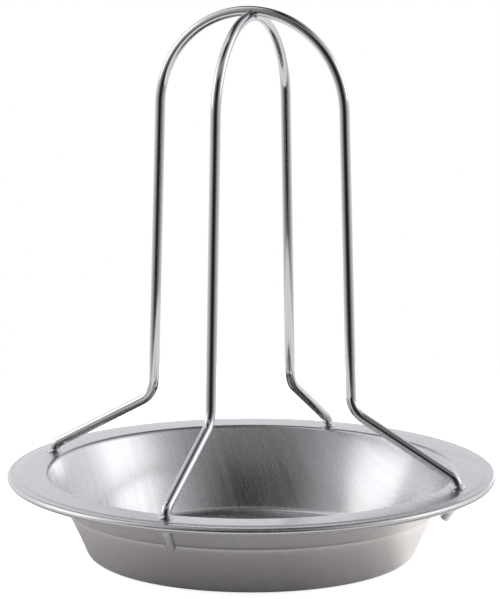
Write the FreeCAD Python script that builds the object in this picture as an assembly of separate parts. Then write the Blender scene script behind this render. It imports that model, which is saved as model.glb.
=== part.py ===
import FreeCAD, Part
import math
import os

# Vertical chicken roaster: a drip pan with two bent wire hoops standing in its rim.
# Origin: centre of the pan's flat underside, +Z up, +X along the outer hoop. Lengths in mm.

# Drip pan, one drawn sheet
pan_diameter = 215.0
pan_height = 37.4
sheet_thickness = 0.6
rim_width = 18.0
upper_wall_lean = 28.3
lower_wall_lean = 23.0
wall_bend_drop = 22.0
wall_bend_radius = 200.0
floor_bend_radius = 6.0
rim_bend_radius = 2.6
draw_mark_drop = 15.2
draw_mark_depth = 0.12
draw_mark_radius = 0.7
rim_drop = 0.3
rim_drop_width = 2.2
rim_drop_bend_radius = 3.0
bead_land = 1.5
bead_diameter = 3.2
bead_wrap = 285.0

# Wire hoops
overall_height = 242.0
wire_diameter = 4.5
outer_crown_radius = 43.0
inner_crown_radius = 40.8
leg_spread = 46.8
leg_bend_height = 30.2
leg_bend_radius = 11.5
foot_inset = 11.7
foot_bend_height = 3.3
foot_bend_radius = 5.5

# Hooked tips under the rim
hook_depth = 5.0
hook_bend_radius = 4.0
tip_reach = 6.0
tip_drop = 9.2
tip_edge_radius = 0.4

# Pressed collars that rest on the rim, and the holes that the wire drops through
collar_diameter = 6.6
collar_edge_height = 0.4
collar_height = 1.3
hole_clearance = 0.35

# Resistance weld where the hoops cross
weld_set_down = 2.2
weld_diameter = 6.3

pan_radius = pan_diameter / 2
bead_radius = bead_diameter / 2
wire_radius = wire_diameter / 2
foot_radius = pan_radius - foot_inset
outer_apex_height = overall_height - wire_radius
inner_apex_height = outer_apex_height - wire_diameter + weld_set_down


def point(across, up):
    """A point in the upright XZ plane."""
    return FreeCAD.Vector(across, 0, up)


def direction(angle):
    """A unit vector in the XZ plane, its angle counted from +X towards +Z in degrees."""
    return point(math.cos(math.radians(angle)), math.sin(math.radians(angle)))


def rounded_line(corners, radii):
    """Edges from the first corner to the last; each inner corner gets its own radius, 0 for none."""
    edges = []
    start = corners[0]
    for i, radius in enumerate(radii, 1):
        corner = corners[i]
        back = (corners[i - 1] - corner).normalize()
        ahead = (corners[i + 1] - corner).normalize()
        half_angle = back.getAngle(ahead) / 2
        run = radius / math.tan(half_angle)
        edges.append(Part.makeLine(start, corner + back * run))
        start = corner + ahead * run
        if radius > 0:
            bisector = (back + ahead).normalize()
            middle = corner + bisector * (radius / math.sin(half_angle) - radius)
            edges.append(Part.Arc(corner + back * run, middle, start).toShape())
    edges.append(Part.makeLine(start, corners[-1]))
    return edges


def under_side(corners, thickness):
    """The corners of the sheet's other side, one thickness to the right of the line of travel."""
    normals = []
    for near, far in zip(corners, corners[1:]):
        along = (far - near).normalize()
        normals.append(point(along.z, -along.x))
    moved = [corners[0] + normals[0] * thickness]
    for corner, before, after in zip(corners[1:], normals, normals[1:]):
        moved.append(corner + (before + after) * (thickness / (1 + before.dot(after))))
    moved.append(corners[-1] + normals[-1] * thickness)
    return moved


def rolled_bead(centre, radius):
    """The arc of one side of the rolled edge, from the rim's level over the outside and back under."""
    angles = (90, 90 - bead_wrap / 2, 90 - bead_wrap)
    return Part.Arc(*[centre + direction(angle) * radius for angle in angles]).toShape()


def down_wall(start, lean, drop):
    """The point reached by going down the wall from start, at a lean from upright in degrees."""
    return start - point(drop * math.tan(math.radians(lean)), drop)


def draw_mark(rim_corner):
    """The die's ring mark as a round-nosed cut round the outside of the wall."""
    outwards = direction(-upper_wall_lean)
    on_wall = down_wall(rim_corner, upper_wall_lean, draw_mark_drop)
    nose = on_wall + outwards * (draw_mark_radius - draw_mark_depth)
    return Part.makeTorus(nose.x, draw_mark_radius, point(0, nose.z))


def drip_pan():
    """The sheet's true section turned about the axis, with its draw mark and a hole for each foot."""
    rim_corner = point(pan_radius - rim_width, pan_height)
    wall_bend = down_wall(rim_corner, upper_wall_lean, wall_bend_drop)
    floor_corner = down_wall(wall_bend, lower_wall_lean, wall_bend.z - sheet_thickness)
    bead_top = point(pan_radius - bead_radius, pan_height - rim_drop)
    land_start = bead_top - point(bead_land, 0)
    drop_start = land_start + point(-rim_drop_width, rim_drop)
    top_side = [
        point(0, sheet_thickness),
        floor_corner,
        wall_bend,
        rim_corner,
        drop_start,
        land_start,
        bead_top,
    ]
    bends = [
        (floor_bend_radius, 1),
        (wall_bend_radius, -1),
        (rim_bend_radius, -1),
        (rim_drop_bend_radius + sheet_thickness, -1),
        (rim_drop_bend_radius, 1),
    ]
    top_radii = [radius for radius, sense in bends]
    under_radii = [radius + sense * sheet_thickness for radius, sense in bends]
    bottom_side = under_side(top_side, sheet_thickness)
    bead_centre = bead_top - point(0, bead_radius)
    bead_end = direction(90 - bead_wrap)
    lip = Part.makeLine(bead_centre + bead_end * bead_radius,
                        bead_centre + bead_end * (bead_radius - sheet_thickness))
    axis = Part.makeLine(bottom_side[0], top_side[0])
    section = rounded_line(top_side, top_radii) + rounded_line(bottom_side, under_radii)
    section += [rolled_bead(bead_centre, bead_radius), lip, axis]
    section += [rolled_bead(bead_centre, bead_radius - sheet_thickness)]
    sheet = Part.Face(Part.Wire(Part.__sortEdges__(section)))
    pan = sheet.revolve(point(0, 0), point(0, 1), 360)
    pan = pan.cut(draw_mark(bottom_side[top_side.index(rim_corner)]))
    hole_radius = wire_radius + hole_clearance
    for quarter in range(4):
        hole = Part.makeCylinder(hole_radius, bead_diameter, point(foot_radius, pan_height - bead_radius))
        hole.rotate(point(0, 0), point(0, 1), 90 * quarter)
        pan = pan.cut(hole)
    return pan


def hoop_leg(crown_radius, crown_height):
    """Edges of the wire's centre line from the crown arc's end down to the hooked tip, and the splay."""
    knee = point(leg_spread, pan_height + leg_bend_height)
    reach = (knee - point(0, crown_height)).Length
    tilt = math.atan2(crown_height - knee.z, knee.x)
    splay = math.degrees(math.acos(crown_radius / reach) - tilt)
    hook = point(foot_radius, pan_height - hook_depth)
    corners = [
        point(0, crown_height) + direction(splay) * crown_radius,
        knee,
        point(foot_radius, pan_height + foot_bend_height),
        hook,
        hook + point(-tip_reach, -tip_drop),
    ]
    return rounded_line(corners, [leg_bend_radius, foot_bend_radius, hook_bend_radius]), splay


def wire_hoop(crown_radius, apex_height):
    """A round wire bent in the XZ plane, with a pressed collar above each hooked tip."""
    crown_height = apex_height - crown_radius
    leg, splay = hoop_leg(crown_radius, crown_height)
    far_leg = [edge.mirror(point(0, 0), FreeCAD.Vector(1, 0, 0)) for edge in leg]
    crown = Part.Arc(*[point(0, crown_height) + direction(angle) * crown_radius
                       for angle in (splay, 90, 180 - splay)]).toShape()
    path = Part.Wire(Part.__sortEdges__(leg + [crown] + far_leg))
    tip = leg[-1].Vertexes[-1].Point
    end_face = Part.Face(Part.Wire(Part.makeCircle(wire_radius, tip, leg[-1].tangentAt(0))))
    hoop = path.makePipe(end_face)
    ends = [edge for edge in hoop.Edges if edge.BoundBox.ZMax < pan_height - hook_depth - hook_bend_radius]
    rims = [edge for edge in ends if edge.Closed]
    hoop = hoop.makeFillet(tip_edge_radius, rims)
    for side in (-1, 1):
        seat = point(side * foot_radius, pan_height)
        edge_top = seat + point(0, collar_edge_height)
        flange = Part.makeCylinder(collar_diameter / 2, collar_edge_height, seat)
        taper = Part.makeCone(collar_diameter / 2, wire_radius, collar_height - collar_edge_height, edge_top)
        hoop = hoop.fuse([flange, taper])
    return hoop.removeSplitter()


def crown_weld(outer_hoop, inner_hoop):
    """Metal squeezed out of the joint, filling the corners between the crossing wires."""
    centre = point(0, (outer_apex_height + inner_apex_height) / 2)
    return Part.makeSphere(weld_diameter / 2, centre).cut([outer_hoop, inner_hoop])


outer_hoop = wire_hoop(outer_crown_radius, outer_apex_height)
inner_hoop = wire_hoop(inner_crown_radius, inner_apex_height)
inner_hoop.rotate(point(0, 0), point(0, 1), 90)
inner_hoop = inner_hoop.cut(outer_hoop)

parts = {
    "drip_pan": drip_pan(),
    "outer_hoop": outer_hoop,
    "inner_hoop": inner_hoop,
    "crown_weld": crown_weld(outer_hoop, inner_hoop),
}

os.makedirs("parts", exist_ok=True)
for name, shape in parts.items():
    shape.Solids[0].exportStep("parts/" + name + ".step")
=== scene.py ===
import bpy
import bmesh
import math
from mathutils import Matrix, Vector, noise


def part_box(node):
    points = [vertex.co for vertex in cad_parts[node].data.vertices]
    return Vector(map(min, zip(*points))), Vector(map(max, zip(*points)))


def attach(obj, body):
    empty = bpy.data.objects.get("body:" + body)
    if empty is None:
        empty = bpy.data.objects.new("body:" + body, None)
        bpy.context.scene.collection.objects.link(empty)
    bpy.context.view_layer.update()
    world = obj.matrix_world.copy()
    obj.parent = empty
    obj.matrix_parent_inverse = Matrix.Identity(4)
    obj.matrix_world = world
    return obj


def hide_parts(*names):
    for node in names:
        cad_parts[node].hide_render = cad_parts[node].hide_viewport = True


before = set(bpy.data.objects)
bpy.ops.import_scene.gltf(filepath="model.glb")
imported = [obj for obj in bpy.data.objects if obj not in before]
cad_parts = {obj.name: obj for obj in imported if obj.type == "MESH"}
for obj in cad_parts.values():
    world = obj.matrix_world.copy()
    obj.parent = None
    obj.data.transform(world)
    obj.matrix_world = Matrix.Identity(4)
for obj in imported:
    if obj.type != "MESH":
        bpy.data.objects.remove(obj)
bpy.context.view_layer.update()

# Sizes in metres, taken from the solids where their boxes give them
pan_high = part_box("drip_pan")[1]
pan_radius = min(pan_high[0], pan_high[1])
pan_height = pan_high[2]
sheet_thickness = 0.0006
rim_width = 0.0180
upper_wall_lean = math.radians(28.3)
lower_wall_lean = math.radians(23.0)
wall_bend_drop = 0.0220
wall_bend_radius = 0.2000
floor_bend_radius = 0.0040
rim_bend_radius = 0.0026
draw_mark_drop = 0.0152
draw_mark_depth = 0.00005
draw_mark_radius = 0.0007
rim_drop = 0.0003
rim_drop_width = 0.0022
rim_drop_bend_radius = 0.0030
bead_land = 0.0015
bead_radius = 0.0016
bead_wrap = math.radians(285.0)

wire_radius = 0.00225
overall_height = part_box("outer_hoop")[1][2]
weld_set_down = 0.0022
outer_crown_radius = 0.0430
inner_crown_radius = 0.0408
leg_spread = 0.0468
leg_bend_height = 0.0302
leg_bend_radius = 0.0115
foot_radius = pan_radius - 0.0117
foot_bend_height = 0.0033
foot_bend_radius = 0.0055
hook_depth = 0.0050
hook_bend_radius = 0.0040
tip_reach = 0.0060
tip_drop = 0.0092
tip_edge_radius = 0.0004
collar_radius = 0.0033
collar_edge_height = 0.0004
collar_height = 0.0013
hole_radius = wire_radius + 0.00035

outer_apex_height = overall_height - wire_radius
inner_apex_height = outer_apex_height - 2 * wire_radius + weld_set_down
weld_radius = 0.0031
weld_ridges_per_metre = 900
weld_ridge_height = 0.10
weld_flattened = (0.98, 0.98, 0.86)

# How finely round shapes are divided, and the angle past which an edge stays crisp
steps_round_pan = 240
steps_round_hole = 48
crisp_edge = math.radians(38)
quarter_turn = math.radians(90)
to_degrees = 180 / math.pi


# Forming: a sheet's line or a wire's ring is carried along a path in the upright XZ plane

def upright(across, up):
    """A point in the upright plane."""
    return Vector((across, 0.0, up))


def carry_straight(bm, front, travel):
    """Draws the front on by travel, and gives the new front."""
    return bmesh.ops.spin(bm, geom=front, cent=(0, 0, 0), axis=(0, 1, 0), dvec=travel,
                          angle=0.0, steps=1, use_merge=False, use_normal_flip=False,
                          use_duplicate=False)["geom_last"]


def carry_round(bm, front, centre, turn, steps):
    """Bends the front round a centre by an angle about +Y, and gives the new front."""
    return bmesh.ops.spin(bm, geom=front, cent=centre, axis=(0, 1, 0), dvec=(0, 0, 0),
                          angle=turn, steps=steps, use_merge=False, use_normal_flip=False,
                          use_duplicate=False)["geom_last"]


def follow(bm, front, corners, radii, steps_per_right_angle):
    """Carries the front from corner to corner, with its own bend radius at each inner corner."""
    here = corners[0]
    for before, corner, after, radius in zip(corners, corners[1:], corners[2:], radii):
        arriving = (corner - before).normalized()
        leaving = (after - corner).normalized()
        turn = arriving.angle(leaving)
        sense = 1.0 if arriving.cross(leaving).y > 0 else -1.0
        run = radius * math.tan(turn / 2)
        bend_start = corner - arriving * run
        front = carry_straight(bm, front, bend_start - here)
        inward = Vector((0, 1, 0)).cross(arriving) * sense
        steps = max(4, round(steps_per_right_angle * turn / quarter_turn))
        if radius > 0:
            front = carry_round(bm, front, bend_start + inward * radius, turn * sense, steps)
        here = corner + leaving * run
    return carry_straight(bm, front, corners[-1] - here)


def turn_full(bm, steps, centre=(0, 0, 0)):
    """Turns everything in the mesh once round an upright axis and closes the seam."""
    bmesh.ops.spin(bm, geom=bm.verts[:] + bm.edges[:], cent=centre, axis=(0, 0, 1),
                   dvec=(0, 0, 0), angle=math.tau, steps=steps, use_merge=True,
                   use_normal_flip=False, use_duplicate=False)
    bmesh.ops.remove_doubles(bm, verts=bm.verts[:], dist=1e-6)
    bmesh.ops.recalc_face_normals(bm, faces=bm.faces[:])


def placed(bm, name):
    """The shaped mesh as an object in the scene."""
    mesh = bpy.data.meshes.new(name)
    bm.to_mesh(mesh)
    bm.free()
    thing = bpy.data.objects.new(name, mesh)
    bpy.context.scene.collection.objects.link(thing)
    return thing


def finished_piece(bm, name, body="root"):
    """The shaped mesh as a smooth piece with crisp edges, riding on its body."""
    piece = placed(bm, name)
    piece.data.shade_smooth()
    piece.data.set_sharp_from_angle(angle=crisp_edge)
    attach(piece, body)
    return piece


# Drip pan

def down_wall(start, lean, drop):
    """The point reached by going down the wall from start, at a lean from upright."""
    return start - upright(drop * math.tan(lean), drop)


def press_drip_pan():
    """The upper side of the drawn sheet, from the middle of the floor to the rolled edge's end."""
    rim_corner = upright(pan_radius - rim_width, pan_height)
    wall_bend = down_wall(rim_corner, upper_wall_lean, wall_bend_drop)
    floor_corner = down_wall(wall_bend, lower_wall_lean, wall_bend.z - sheet_thickness)
    bead_top = upright(pan_radius - bead_radius, pan_height - rim_drop)
    land_start = bead_top - upright(bead_land, 0)
    drop_start = land_start + upright(-rim_drop_width, rim_drop)
    corners = [upright(0, sheet_thickness), floor_corner, wall_bend, rim_corner, drop_start,
               land_start, bead_top]
    radii = [floor_bend_radius, wall_bend_radius, rim_bend_radius,
             rim_drop_bend_radius + sheet_thickness, rim_drop_bend_radius]
    bm = bmesh.new()
    front = follow(bm, [bm.verts.new(corners[0])], corners, radii, steps_per_right_angle=24)
    carry_round(bm, front, bead_top - upright(0, bead_radius), bead_wrap, steps=40)
    bmesh.ops.remove_doubles(bm, verts=bm.verts[:], dist=1e-7)
    turn_full(bm, steps_round_pan)
    if sum(face.normal.z for face in bm.faces if face.calc_center_median().z < 0.001) < 0:
        bmesh.ops.reverse_faces(bm, faces=bm.faces[:])
    return bm


def press_draw_mark(bm):
    """The die's round nose, run round the outside of the wall as a closed ring."""
    rim_corner = upright(pan_radius - rim_width, pan_height)
    outwards = upright(math.cos(upper_wall_lean), -math.sin(upper_wall_lean))
    half_bend = (quarter_turn - upper_wall_lean) / 2
    under_corner = rim_corner + upright(math.tan(half_bend), -1) * sheet_thickness
    on_wall = down_wall(under_corner, upper_wall_lean, draw_mark_drop)
    nose = on_wall + outwards * (draw_mark_radius - draw_mark_depth)
    facing = Matrix.Translation(nose) @ Matrix.Rotation(quarter_turn, 4, "X")
    bmesh.ops.create_circle(bm, segments=48, radius=draw_mark_radius, matrix=facing)
    turn_full(bm, steps_round_pan)


def pan_punches():
    """The die's ring and four round punches that stand through the rim, as one cutting tool."""
    bm = bmesh.new()
    press_draw_mark(bm)
    for quarter in range(4):
        place = Matrix.Rotation(quarter_turn * quarter, 4, "Z") @ Matrix.Translation(
            (foot_radius, 0, pan_height))
        bmesh.ops.create_cone(bm, cap_ends=True, segments=steps_round_hole, radius1=hole_radius,
                              radius2=hole_radius, depth=0.004, matrix=place)
    return placed(bm, "pan_punches")


def punch_holes(sheet):
    """Gives the sheet its thickness, its draw mark and the four foot holes through the rim."""
    thickness = sheet.modifiers.new("sheet thickness", "SOLIDIFY")
    thickness.thickness = sheet_thickness
    thickness.offset = -1.0
    thickness.use_even_offset = True
    thickness.use_rim = True
    punches = pan_punches()
    cut = sheet.modifiers.new("mark and holes", "BOOLEAN")
    cut.operation = "DIFFERENCE"
    cut.solver = "EXACT"
    cut.object = punches
    settled = sheet.evaluated_get(bpy.context.evaluated_depsgraph_get())
    mesh = bpy.data.meshes.new_from_object(settled)
    sheet.modifiers.clear()
    spent_meshes = [sheet.data, punches.data]
    sheet.data = mesh
    bpy.data.objects.remove(punches)
    for spent in spent_meshes:
        bpy.data.meshes.remove(spent)
    mesh.name = sheet.name
    mesh.set_sharp_from_angle(angle=crisp_edge)


def paint_outer_side(sheet):
    """Tells the outside of the wall from the inside, for the painted shade and painted highlight
    there and for where the die smoothed the brushing.
    """
    outer = sheet.data.attributes.new("outer_side", "FLOAT", "POINT")
    below_rim = pan_height - 0.002
    for vert, side in zip(sheet.data.vertices, outer.data):
        outside = vert.normal.xy.dot(vert.co.xy) > 0 and vert.co.z < below_rim
        side.value = 1.0 if outside else 0.0


# Wire hoops

def bend_hoop(crown_radius, apex_height):
    """One wire from hooked tip to hooked tip, with a pressed collar above each hook."""
    crown_height = apex_height - crown_radius
    knee = upright(leg_spread, pan_height + leg_bend_height)
    to_knee = knee - upright(0, crown_height)
    splay = math.acos(crown_radius / to_knee.length) - math.atan2(-to_knee.z, to_knee.x)
    hook = upright(foot_radius, pan_height - hook_depth)
    tip = hook + upright(-tip_reach, -tip_drop)
    side = [tip, hook, upright(foot_radius, pan_height + foot_bend_height), knee]
    peak = upright(0, crown_height + crown_radius / math.sin(splay))
    far_side = [upright(-corner.x, corner.z) for corner in reversed(side)]
    bends = [hook_bend_radius, foot_bend_radius, leg_bend_radius]
    bm = bmesh.new()
    facing = (hook - tip).to_track_quat("Z", "Y").to_matrix().to_4x4()
    bmesh.ops.create_circle(bm, segments=64, radius=wire_radius,
                            matrix=Matrix.Translation(tip) @ facing)
    start_ring = bm.verts[:] + bm.edges[:]
    start_edges = bm.edges[:]
    front = follow(bm, start_ring, side + [peak] + far_side, bends + [crown_radius] + bends[::-1],
                   steps_per_right_angle=28)
    end_edges = [part for part in front if isinstance(part, bmesh.types.BMEdge)]
    bmesh.ops.contextual_create(bm, geom=start_edges)
    bmesh.ops.contextual_create(bm, geom=end_edges)
    bmesh.ops.recalc_face_normals(bm, faces=bm.faces[:])
    bmesh.ops.bevel(bm, geom=start_edges + end_edges, offset=tip_edge_radius, segments=4,
                    profile=0.5, affect="EDGES", material=-1)
    for across in (foot_radius, -foot_radius):
        add_collar(bm, across)
    return bm


def add_collar(bm, across):
    """The wire's pressed collar, which rests on the rim and closes inside the wire."""
    inside = wire_radius * 0.8
    outline = [
        upright(across + inside, pan_height),
        upright(across + collar_radius, pan_height),
        upright(across + collar_radius, pan_height + collar_edge_height),
        upright(across + wire_radius, pan_height + collar_height),
        upright(across + inside, pan_height + collar_height),
        upright(across + inside, pan_height),
    ]
    bends = [0.00012, 0.0003, 0.0005, 0]
    collar = bmesh.new()
    follow(collar, [collar.verts.new(outline[0])], outline, bends, steps_per_right_angle=8)
    bmesh.ops.remove_doubles(collar, verts=collar.verts[:], dist=1e-7)
    turn_full(collar, steps_round_hole, centre=(across, 0, 0))
    mesh = bpy.data.meshes.new("collar")
    collar.to_mesh(mesh)
    collar.free()
    bm.from_mesh(mesh)
    bpy.data.meshes.remove(mesh)


# Resistance weld

def squeeze_weld():
    """The uneven metal squeezed out where the hoops were pressed together."""
    middle = upright(0, (outer_apex_height + inner_apex_height) / 2)
    bm = bmesh.new()
    bmesh.ops.create_icosphere(bm, subdivisions=5, radius=weld_radius)
    for vert in bm.verts:
        ridge = noise.fractal(vert.co * weld_ridges_per_metre, 0.8, 2.0, 3)
        vert.co *= 1.0 + weld_ridge_height * ridge
    bmesh.ops.scale(bm, vec=weld_flattened, verts=bm.verts[:])
    bmesh.ops.translate(bm, vec=middle, verts=bm.verts[:])
    bmesh.ops.recalc_face_normals(bm, faces=bm.faces[:])
    return bm


drip_pan = finished_piece(press_drip_pan(), "pressed_drip_pan")
punch_holes(drip_pan)
paint_outer_side(drip_pan)
outer_hoop = finished_piece(bend_hoop(outer_crown_radius, outer_apex_height), "outer_wire_hoop")
inner_mesh = bend_hoop(inner_crown_radius, inner_apex_height)
bmesh.ops.rotate(inner_mesh, cent=(0, 0, 0), matrix=Matrix.Rotation(quarter_turn, 3, "Z"),
                 verts=inner_mesh.verts[:])
inner_hoop = finished_piece(inner_mesh, "inner_wire_hoop")
weld = finished_piece(squeeze_weld(), "squeezed_weld")

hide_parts("drip_pan")
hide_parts("outer_hoop")
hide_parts("inner_hoop")
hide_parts("crown_weld")


# Finishes

def node(tree, kind, place, **settings):
    """A new node at a place counted in columns and rows."""
    made = tree.nodes.new(kind)
    made.location = (place[0] * 200, place[1] * 200)
    for name, value in settings.items():
        setattr(made, name, value)
    return made


def set_inputs(made, **values):
    """Sets a node's inputs by name, with an underscore for each blank."""
    for name, value in values.items():
        made.inputs[name.replace("_", " ")].default_value = value


def math_step(tree, operation, first, second, place, third=None):
    """One sum on values or on other nodes' outputs."""
    made = node(tree, "ShaderNodeMath", place, operation=operation)
    for socket, value in zip(made.inputs, (first, second, third)):
        if isinstance(value, (int, float)):
            socket.default_value = value
        elif value is not None:
            tree.links.new(value, socket)
    return made.outputs[0]


def ranged(tree, mask, low, high, place):
    """A mask's middle range carried to low..high."""
    made = node(tree, "ShaderNodeMapRange", place)
    set_inputs(made, From_Min=0.3, From_Max=0.7, To_Min=low, To_Max=high)
    tree.links.new(mask, made.inputs["Value"])
    return made.outputs["Result"]


def shade_along(tree, measure, stops, place):
    """A shade that follows a measure through the given stops of (measure, shade)."""
    low, high = stops[0][0], stops[-1][0]
    part = node(tree, "ShaderNodeMapRange", (place[0] - 1, place[1]))
    set_inputs(part, From_Min=low, From_Max=high)
    tree.links.new(measure, part.inputs["Value"])
    ramp = node(tree, "ShaderNodeValToRGB", place)
    elements = ramp.color_ramp.elements
    while len(elements) > 1:
        elements.remove(elements[-1])
    elements[0].position = 0.0
    elements[0].color = (stops[0][1],) * 3 + (1,)
    for reached, value in stops[1:]:
        elements.new((reached - low) / (high - low)).color = (value,) * 3 + (1,)
    tree.links.new(part.outputs["Result"], ramp.inputs["Fac"])
    return ramp.outputs["Color"]


def two_tone(tree, mask, dark, light, place):
    """A colour between dark and light, as the mask says."""
    mixed = node(tree, "ShaderNodeMix", place, data_type="RGBA")
    mixed.inputs["A"].default_value = (*dark, 1)
    mixed.inputs["B"].default_value = (*light, 1)
    tree.links.new(mask, mixed.inputs["Factor"])
    return mixed.outputs["Result"]


def blank_finish(name, column):
    """A new material with only its output node, which stands in the given column."""
    finish = bpy.data.materials.new(name)
    finish.use_nodes = True
    tree = finish.node_tree
    tree.nodes.clear()
    return finish, tree, node(tree, "ShaderNodeOutputMaterial", (column, 0))


def metal_finish(name):
    """A new bare metal, with the node that gives its object coordinates."""
    finish, tree, output = blank_finish(name, 6)
    metal = node(tree, "ShaderNodeBsdfPrincipled", (4, 0))
    metal.inputs["Metallic"].default_value = 1.0
    tree.links.new(metal.outputs[0], output.inputs["Surface"])
    place = node(tree, "ShaderNodeTexCoord", (-6, 0))
    return finish, tree, metal, place


def fine_streaks():
    """Fine lines along Y of the vector: a height for bump and a mask for gloss and tone."""
    tree = bpy.data.node_groups.new("fine_streaks", "ShaderNodeTree")
    for name, kind in (("Vector", "NodeSocketVector"), ("Lines per metre", "NodeSocketFloat"),
                       ("Stretch", "NodeSocketFloat")):
        tree.interface.new_socket(name=name, in_out="INPUT", socket_type=kind)
    for name in ("Height", "Mask"):
        tree.interface.new_socket(name=name, in_out="OUTPUT", socket_type="NodeSocketFloat")
    link = tree.links.new
    source = node(tree, "NodeGroupInput", (-4, 0))
    result = node(tree, "NodeGroupOutput", (3, 0))
    squeeze = node(tree, "ShaderNodeCombineXYZ", (-3, -1), label="lines are long along Y")
    squeeze.inputs[0].default_value = 1.0
    squeeze.inputs[2].default_value = 1.0
    link(source.outputs["Stretch"], squeeze.inputs[1])
    stretch = node(tree, "ShaderNodeVectorMath", (-2, 0), operation="MULTIPLY")
    link(source.outputs["Vector"], stretch.inputs[0])
    link(squeeze.outputs[0], stretch.inputs[1])
    fine = node(tree, "ShaderNodeTexNoise", (-1, 1), label="hair lines")
    set_inputs(fine, Detail=4.0, Roughness=0.65)
    link(stretch.outputs[0], fine.inputs["Vector"])
    link(source.outputs["Lines per metre"], fine.inputs["Scale"])
    wider = math_step(tree, "MULTIPLY", source.outputs["Lines per metre"], 0.17, (-2, -2))
    broad = node(tree, "ShaderNodeTexNoise", (-1, -1), label="broad passes of the belt")
    set_inputs(broad, Detail=2.0, Roughness=0.5)
    link(stretch.outputs[0], broad.inputs["Vector"])
    link(wider, broad.inputs["Scale"])
    both = node(tree, "ShaderNodeMix", (1, 0), data_type="FLOAT",
                label="hair lines over broad passes")
    both.inputs["Factor"].default_value = 0.45
    link(fine.outputs["Fac"], both.inputs["A"])
    link(broad.outputs["Fac"], both.inputs["B"])
    link(fine.outputs["Fac"], result.inputs["Height"])
    link(both.outputs[0], result.inputs["Mask"])
    return tree


streak_group = fine_streaks()
brushing_turn = math.radians(58)
brushing_bump = 0.06
die_smoothing = 0.75

# How bright the outside of the wall is by height, as painted light and shade: painted shade under
# the rim above the draw mark, a painted highlight just under the mark, and painted shade towards
# the foot. A shade of 0.8 is the sheet's own tone.
wall_light_and_shade_tone = [(0.0, 0.78), (0.010, 0.79), (0.017, 0.83), (0.0213, 0.89), (0.0219, 0.77),
               (0.0374, 0.78)]
own_tone = 0.8


def brushed_sheet():
    """Stainless sheet brushed in one direction before it was drawn, with painted shade and a
    painted highlight on the outside of the wall.
    """
    finish, tree, metal, place = metal_finish("brushed_stainless_sheet")
    link = tree.links.new
    lay = node(tree, "ShaderNodeMapping", (-5, 0), label="direction of the brushing")
    lay.inputs["Rotation"].default_value = (0, 0, -brushing_turn)
    lay.inputs["Scale"].default_value = (1, 1, 0)
    link(place.outputs["Object"], lay.inputs["Vector"])
    streaks = node(tree, "ShaderNodeGroup", (-3, 0), node_tree=streak_group)
    streaks.inputs["Lines per metre"].default_value = 2000
    streaks.inputs["Stretch"].default_value = 0.03
    link(lay.outputs[0], streaks.inputs["Vector"])
    outer = node(tree, "ShaderNodeAttribute", (-4, 6), attribute_name="outer_side")
    smoothed = math_step(tree, "MULTIPLY", outer.outputs["Fac"], die_smoothing, (-3, 2))
    lines = node(tree, "ShaderNodeMix", (-2, 2), data_type="FLOAT",
                 label="the die smoothed the outside")
    link(smoothed, lines.inputs["Factor"])
    link(streaks.outputs["Mask"], lines.inputs["A"])
    lines.inputs["B"].default_value = 0.5
    tone = two_tone(tree, lines.outputs["Result"], (0.55, 0.545, 0.55), (0.71, 0.705, 0.71), (0, 2))
    parts = node(tree, "ShaderNodeSeparateXYZ", (-3, 4))
    link(place.outputs["Object"], parts.inputs[0])
    # Painted light and shade on the outside only: shade under the rim, a highlight just under the
    # draw mark, and shade towards the foot.
    wall_shading_factor = math_step(tree, "MULTIPLY_ADD",
                       shade_along(tree, parts.outputs["Z"], wall_light_and_shade_tone, (0, 5)), 1 / own_tone,
                       (1, 5), -1.0)
    wall_shading_factor = math_step(tree, "MULTIPLY_ADD", outer.outputs["Fac"], wall_shading_factor, (2, 5), 1.0)
    shaded_wall_tone = node(tree, "ShaderNodeVectorMath", (3, 3), operation="SCALE",
                label="painted shade and highlight on the outside")
    link(tone, shaded_wall_tone.inputs[0])
    link(wall_shading_factor, shaded_wall_tone.inputs["Scale"])
    link(shaded_wall_tone.outputs[0], metal.inputs["Base Color"])
    link(ranged(tree, lines.outputs["Result"], 0.20, 0.33, (0, 0)), metal.inputs["Roughness"])
    bump = node(tree, "ShaderNodeBump", (2, -2))
    bump.inputs["Distance"].default_value = 0.0001
    link(math_step(tree, "MULTIPLY_ADD", smoothed, -brushing_bump, (1, -3), brushing_bump),
         bump.inputs["Strength"])
    link(streaks.outputs["Height"], bump.inputs["Height"])
    link(bump.outputs[0], metal.inputs["Normal"])
    across = node(tree, "ShaderNodeCombineXYZ", (2, -4), label="across the brushing")
    across.inputs[0].default_value = math.cos(brushing_turn)
    across.inputs[1].default_value = math.sin(brushing_turn)
    link(across.outputs[0], metal.inputs["Tangent"])
    metal.inputs["Anisotropic"].default_value = 0.6
    return finish


def polished_wire():
    """Bright drawn wire with faint lines along it."""
    finish, tree, metal, place = metal_finish("polished_hoop_wire")
    link = tree.links.new
    lay = node(tree, "ShaderNodeMapping", (-5, 0), label="drawn lines run along the legs")
    lay.inputs["Rotation"].default_value = (quarter_turn, 0, 0)
    link(place.outputs["Object"], lay.inputs["Vector"])
    streaks = node(tree, "ShaderNodeGroup", (-3, 0), node_tree=streak_group)
    streaks.inputs["Lines per metre"].default_value = 1400
    streaks.inputs["Stretch"].default_value = 0.05
    link(lay.outputs[0], streaks.inputs["Vector"])
    link(two_tone(tree, streaks.outputs["Mask"], (0.60, 0.60, 0.61), (0.70, 0.70, 0.71), (0, 2)),
         metal.inputs["Base Color"])
    link(ranged(tree, streaks.outputs["Mask"], 0.07, 0.12, (0, 0)), metal.inputs["Roughness"])
    bump = node(tree, "ShaderNodeBump", (2, -2))
    set_inputs(bump, Strength=0.03, Distance=0.0001)
    link(streaks.outputs["Height"], bump.inputs["Height"])
    link(bump.outputs[0], metal.inputs["Normal"])
    return finish


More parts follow.
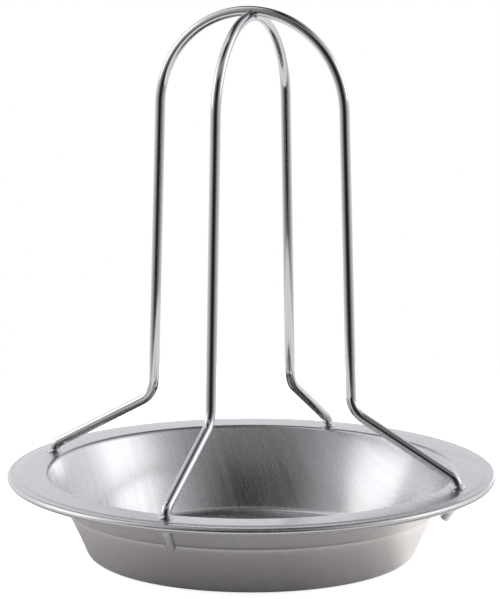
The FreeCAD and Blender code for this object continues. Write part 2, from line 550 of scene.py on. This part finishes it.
def scorched_weld():
    """Dull metal browned by the heat of the weld."""
    finish, tree, metal, place = metal_finish("heat_darkened_weld")
    link = tree.links.new
    scale = node(tree, "ShaderNodeTexNoise", (-3, 0), label="scale and soot")
    set_inputs(scale, Scale=1300.0, Detail=5.0, Roughness=0.6)
    link(place.outputs["Object"], scale.inputs["Vector"])
    link(two_tone(tree, scale.outputs["Fac"], (0.09, 0.085, 0.085), (0.50, 0.49, 0.49), (0, 2)),
         metal.inputs["Base Color"])
    link(ranged(tree, scale.outputs["Fac"], 0.25, 0.55, (0, 0)), metal.inputs["Roughness"])
    bump = node(tree, "ShaderNodeBump", (2, -2))
    set_inputs(bump, Strength=0.5, Distance=0.0002)
    link(scale.outputs["Fac"], bump.inputs["Height"])
    link(bump.outputs[0], metal.inputs["Normal"])
    return finish


def dress(piece, finish):
    """Gives a piece its one finish."""
    piece.data.materials.clear()
    piece.data.materials.append(finish)


wire_finish = polished_wire()
dress(drip_pan, brushed_sheet())
dress(outer_hoop, wire_finish)
dress(inner_hoop, wire_finish)
dress(weld, scorched_weld())


# Studio: a white table top, cards that the metal reflects, and soft lamps

camera_place = Vector((0.5579, -1.3888, 0.3876))
camera_target = Vector((-0.0006, -0.0002, 0.1134))
camera_side = Vector((camera_place.x, camera_place.y, 0)).normalized()
camera_turn = math.atan2(camera_side.y, camera_side.x)

# The light that reaches the object from all round, and the cool white that the metal shows
soft_light = 0.45
cool_white = (0.97, 0.96, 1.0)

# How much of the white each black card hides, by degrees round from their middle and degrees up.
# Their middle is a little left of the camera. The ceiling card's degrees are counted to the right,
# and are below zero to the left.
cards_turned = math.radians(2)
front_card_turn = [(0, 0.98), (16, 0.97), (24, 0.93), (34, 0.82), (44, 0.67), (55, 0.48),
                   (67, 0.34), (79, 0.16), (90, 0.0)]
front_card_rise = [(42, 1.0), (48, 0.66), (54, 0.45), (62, 0.50), (70, 0.78), (80, 1.0)]
ceiling_card_turn = [(-180, 1.0), (-155, 0.15), (-85, 0.15), (-60, 1.0), (180, 1.0)]
ceiling_card_rise = [(38, 0.0), (50, 0.25), (60, 0.50), (68, 0.80), (80, 0.90)]
back_card_turn = [(130, 0.0), (160, 1.0)]
back_card_rise = [(16, 0.0), (23, 0.15), (32, 0.70), (41, 0.90), (60, 0.90)]
low_card_turn = [(95, 1.0), (130, 0.0)]
low_card_rise = [(-25, 0.35), (-5, 0.30), (12, 0.0)]

# How brightly the table glows for the camera alone, so that it shows as white
whiteness_shown = 0.82

# The table as the metal shows it: its painted glow, none close to the pan, and a painted shade ring
# round the pan under its rim, both by metres from the middle of the pan
table_glow = [(0.068, 0.0), (0.076, 0.0), (0.092, 0.08), (0.13, 0.08), (0.20, 0.20), (0.30, 0.25)]
table_painted_shade_ring = [(0.11, 0.0), (0.122, 0.60), (0.14, 0.60), (0.165, 0.0), (0.30, 0.0)]

# How bright the pools of light painted on the table close round the pan show in the metal, by
# degrees round to the right and to the left of the camera, and how they end by metres from the
# middle
right_painted_light = [(15, 0.0), (45, 0.10), (60, 0.26), (75, 0.75), (110, 0.75), (180, 0.30)]
left_painted_light = [(30, 0.0), (60, 0.07), (110, 0.12), (180, 0.30)]
painted_light_edge = [(0.105, 1.0), (0.13, 0.0)]

# Soft boxes beside the table: name, degrees round from the camera, metres out and up, width and
# height, and how bright the face is
soft_boxes = [
    ("left_soft_box", -97, 1.3, 0.62, 1.0, 0.75, 0.80),
    ("right_soft_box", 92, 1.3, 0.62, 0.9, 0.75, 0.95),
    ("far_right_strip", 155, 1.2, 0.19, 0.24, 0.18, 1.5),
]


def staged(bm, name, finish):
    """The shaped mesh as a thing of the studio, which isn't part of the object."""
    thing = placed(bm, name)
    thing.data.shade_smooth()
    dress(thing, finish)
    return thing


def round_from_camera(tree, place, column, row, turned=0.0):
    """A place's X, Y and Z with +X towards the camera's side, and its degrees round from there."""
    towards = node(tree, "ShaderNodeMapping", (column, row), label="+X faces the camera side")
    towards.inputs["Rotation"].default_value = (0, 0, turned - camera_turn)
    tree.links.new(place.outputs["Object"], towards.inputs["Vector"])
    parts = node(tree, "ShaderNodeSeparateXYZ", (column + 1, row))
    tree.links.new(towards.outputs[0], parts.inputs[0])
    turn = math_step(tree, "ARCTAN2", parts.outputs["Y"], parts.outputs["X"], (column + 2, row))
    return parts, math_step(tree, "MULTIPLY", turn, to_degrees, (column + 3, row))


def table_finish():
    """White laminate that keeps the shadow near the pan, and shows as white away from it. In the
    metal it shows painted light away from the pan, painted pools of light beside it and a painted
    shade ring round it.
    """
    finish, tree, output = blank_finish("white_table_top", 5)
    link = tree.links.new
    paint = node(tree, "ShaderNodeBsdfDiffuse", (2, 1))
    rays = node(tree, "ShaderNodeLightPath", (-4, 0))
    place = node(tree, "ShaderNodeTexCoord", (-5, -2))
    reach = node(tree, "ShaderNodeVectorMath", (-4, -2), operation="LENGTH")
    link(place.outputs["Object"], reach.inputs[0])
    mirrored = math_step(tree, "MAXIMUM", rays.outputs["Is Glossy Ray"],
                         rays.outputs["Is Transmission Ray"], (-2, -1))
    # Painted shade: the table darker in a ring round the pan, only as the metal sees it.
    dark = math_step(tree, "MULTIPLY", mirrored,
                     shade_along(tree, reach.outputs["Value"], table_painted_shade_ring, (-2, 3)), (-1, 3))
    tint = node(tree, "ShaderNodeVectorMath", (1, 2), operation="SCALE",
                label="painted shade ring in the metal")
    tint.inputs[0].default_value = (0.86, 0.84, 0.82)
    link(math_step(tree, "SUBTRACT", 1.0, dark, (0, 3)), tint.inputs["Scale"])
    link(tint.outputs[0], paint.inputs["Color"])
    to_right = round_from_camera(tree, place, -4, -4)[1]
    to_left = math_step(tree, "MULTIPLY", to_right, -1.0, (0, -5))
    # Painted light: bright pools on the table beside the pan, seen only in the metal.
    painted_light_pools = math_step(tree, "ADD", shade_along(tree, to_right, right_painted_light, (1, -4)),
                       shade_along(tree, to_left, left_painted_light, (1, -6)), (2, -5))
    painted_light_pools = math_step(tree, "MULTIPLY", painted_light_pools,
                       shade_along(tree, reach.outputs["Value"], painted_light_edge, (1, -8)), (3, -6))
    # Painted light: the table glows for the metal, more the farther it is from the pan and not at
    # all close to it.
    glows = math_step(tree, "ADD", shade_along(tree, reach.outputs["Value"], table_glow, (-2, -3)),
                      painted_light_pools, (-1, -2))
    mirrored_glow = math_step(tree, "MULTIPLY", mirrored, glows, (0, -1))
    shown_glow = math_step(tree, "MULTIPLY", rays.outputs["Is Camera Ray"], whiteness_shown, (0, 1))
    glow = node(tree, "ShaderNodeEmission", (2, -1))
    glow.inputs["Color"].default_value = (1, 0.97, 0.95, 1)
    link(mirrored_glow, glow.inputs["Strength"])
    shown = node(tree, "ShaderNodeEmission", (2, -3))
    link(shown_glow, shown.inputs["Strength"])
    lit = node(tree, "ShaderNodeAddShader", (3, 0))
    link(paint.outputs[0], lit.inputs[0])
    link(glow.outputs[0], lit.inputs[1])
    both = node(tree, "ShaderNodeAddShader", (4, 0))
    link(lit.outputs[0], both.inputs[0])
    link(shown.outputs[0], both.inputs[1])
    link(both.outputs[0], output.inputs["Surface"])
    return finish


def lay_table():
    """The round table top, just under the pan."""
    bm = bmesh.new()
    bmesh.ops.create_circle(bm, cap_ends=True, segments=128, radius=0.42)
    bmesh.ops.translate(bm, vec=(0, 0, -0.0001), verts=bm.verts[:])
    staged(bm, "table_top", table_finish())


def card_finish():
    """Black cards before, above and behind the table, thinning out to clear where they end."""
    finish, tree, output = blank_finish("studio_cards", 9)
    link = tree.links.new
    place = node(tree, "ShaderNodeTexCoord", (-8, 0))
    parts, turn_right = round_from_camera(tree, place, -7, 0, turned=cards_turned)
    turn = math_step(tree, "ABSOLUTE", turn_right, None, (-3, 1))
    level = node(tree, "ShaderNodeCombineXYZ", (-5, -2))
    link(parts.outputs["X"], level.inputs[0])
    link(parts.outputs["Y"], level.inputs[1])
    flat = node(tree, "ShaderNodeVectorMath", (-4, -2), operation="LENGTH")
    link(level.outputs[0], flat.inputs[0])
    rise = math_step(tree, "ARCTAN2", parts.outputs["Z"], flat.outputs["Value"], (-3, -2))
    rise = math_step(tree, "MULTIPLY", rise, to_degrees, (-2, -2))
    shades = [
        math_step(tree, "MULTIPLY", shade_along(tree, turn, front_card_turn, (0, 6)),
                  shade_along(tree, rise, front_card_rise, (0, 4)), (2, 5)),
        math_step(tree, "MULTIPLY", shade_along(tree, turn_right, ceiling_card_turn, (0, 9)),
                  shade_along(tree, rise, ceiling_card_rise, (0, 2)), (2, 2)),
        math_step(tree, "MULTIPLY", shade_along(tree, turn, back_card_turn, (0, 0)),
                  shade_along(tree, rise, back_card_rise, (0, -2)), (2, -1)),
        math_step(tree, "MULTIPLY", shade_along(tree, turn, low_card_turn, (0, -4)),
                  shade_along(tree, rise, low_card_rise, (0, -6)), (2, -5)),
    ]
    light = 1.0
    for step, shade in enumerate(shades):
        passed = math_step(tree, "SUBTRACT", 1.0, shade, (4, 3 - 2 * step))
        light = math_step(tree, "MULTIPLY", light, passed, (5 + 0.5 * step, 3 - 2 * step))
    clear = node(tree, "ShaderNodeBsdfTransparent", (7, 2))
    black = node(tree, "ShaderNodeEmission", (7, -2))
    black.inputs["Strength"].default_value = 0.0
    mixed = node(tree, "ShaderNodeMixShader", (8, 0))
    link(light, mixed.inputs["Fac"])
    link(black.outputs[0], mixed.inputs[1])
    link(clear.outputs[0], mixed.inputs[2])
    link(mixed.outputs[0], output.inputs["Surface"])
    return finish


def hang_cards():
    """The cards stand in a round about the table, and only the metal's reflections show them."""
    bm = bmesh.new()
    bmesh.ops.create_icosphere(bm, subdivisions=4, radius=2.4)
    bmesh.ops.reverse_faces(bm, faces=bm.faces[:])
    cards = staged(bm, "studio_cards", card_finish())
    cards.visible_camera = False
    cards.visible_diffuse = False
    cards.visible_transmission = False
    cards.visible_shadow = False


def hang_lamp(name, place, size, power):
    """A flat lamp that faces the middle of the object."""
    data = bpy.data.lights.new(name, "AREA")
    data.shape = "RECTANGLE"
    data.size, data.size_y = size
    data.energy = power
    lamp = bpy.data.objects.new(name, data)
    lamp.location = place
    lamp.rotation_euler = (Vector((0, 0, 0.08)) - place).to_track_quat("-Z", "Y").to_euler()
    bpy.context.scene.collection.objects.link(lamp)
    return lamp


def white_surroundings():
    """White all round as the camera and the metal see it, and a weaker soft light on the rest."""
    world = bpy.data.worlds.new("white_studio")
    bpy.context.scene.world = world
    world.use_nodes = True
    tree = world.node_tree
    tree.nodes.clear()
    link = tree.links.new
    output = node(tree, "ShaderNodeOutputWorld", (3, 0))
    rays = node(tree, "ShaderNodeLightPath", (-4, 0))
    shown = node(tree, "ShaderNodeBackground", (0, 1))
    link(two_tone(tree, rays.outputs["Is Camera Ray"], cool_white, (1, 1, 1), (-1, 2)),
         shown.inputs["Color"])
    soft = node(tree, "ShaderNodeBackground", (0, -1))
    soft.inputs["Color"].default_value = (1, 1, 1, 1)
    soft.inputs["Strength"].default_value = soft_light
    seen = math_step(tree, "MAXIMUM", rays.outputs["Is Camera Ray"], rays.outputs["Is Glossy Ray"],
                     (-2, 0))
    seen = math_step(tree, "MAXIMUM", seen, rays.outputs["Is Transmission Ray"], (-1, 0))
    mixed = node(tree, "ShaderNodeMixShader", (2, 0))
    link(seen, mixed.inputs["Fac"])
    link(soft.outputs[0], mixed.inputs[1])
    link(shown.outputs[0], mixed.inputs[2])
    link(mixed.outputs[0], output.inputs["Surface"])


def aim_camera():
    """The photograph's own view."""
    data = bpy.data.cameras.new("camera")
    data.sensor_fit = "HORIZONTAL"
    data.sensor_width = 36.0
    data.lens = 250.64
    data.clip_start = 0.05
    data.clip_end = 20.0
    camera = bpy.data.objects.new("camera", data)
    camera.location = camera_place
    camera.rotation_euler = (camera_target - camera_place).to_track_quat("-Z", "Y").to_euler()
    bpy.context.scene.collection.objects.link(camera)
    bpy.context.scene.camera = camera


lay_table()
hang_cards()
white_surroundings()
table_lamp = hang_lamp("table_lamp", Vector((0, 0, 1.6)), (1.4, 1.4), 11.0)
table_lamp.visible_glossy = False
for name, turn, out, up, width, height, strength in soft_boxes:
    outwards = Matrix.Rotation(math.radians(turn), 3, "Z") @ camera_side
    lamp = hang_lamp(name, outwards * out + Vector((0, 0, up)), (width, height),
                     strength * math.pi * width * height)
    lamp.visible_camera = False
aim_camera()

bpy.context.scene.view_settings.view_transform = "Standard"
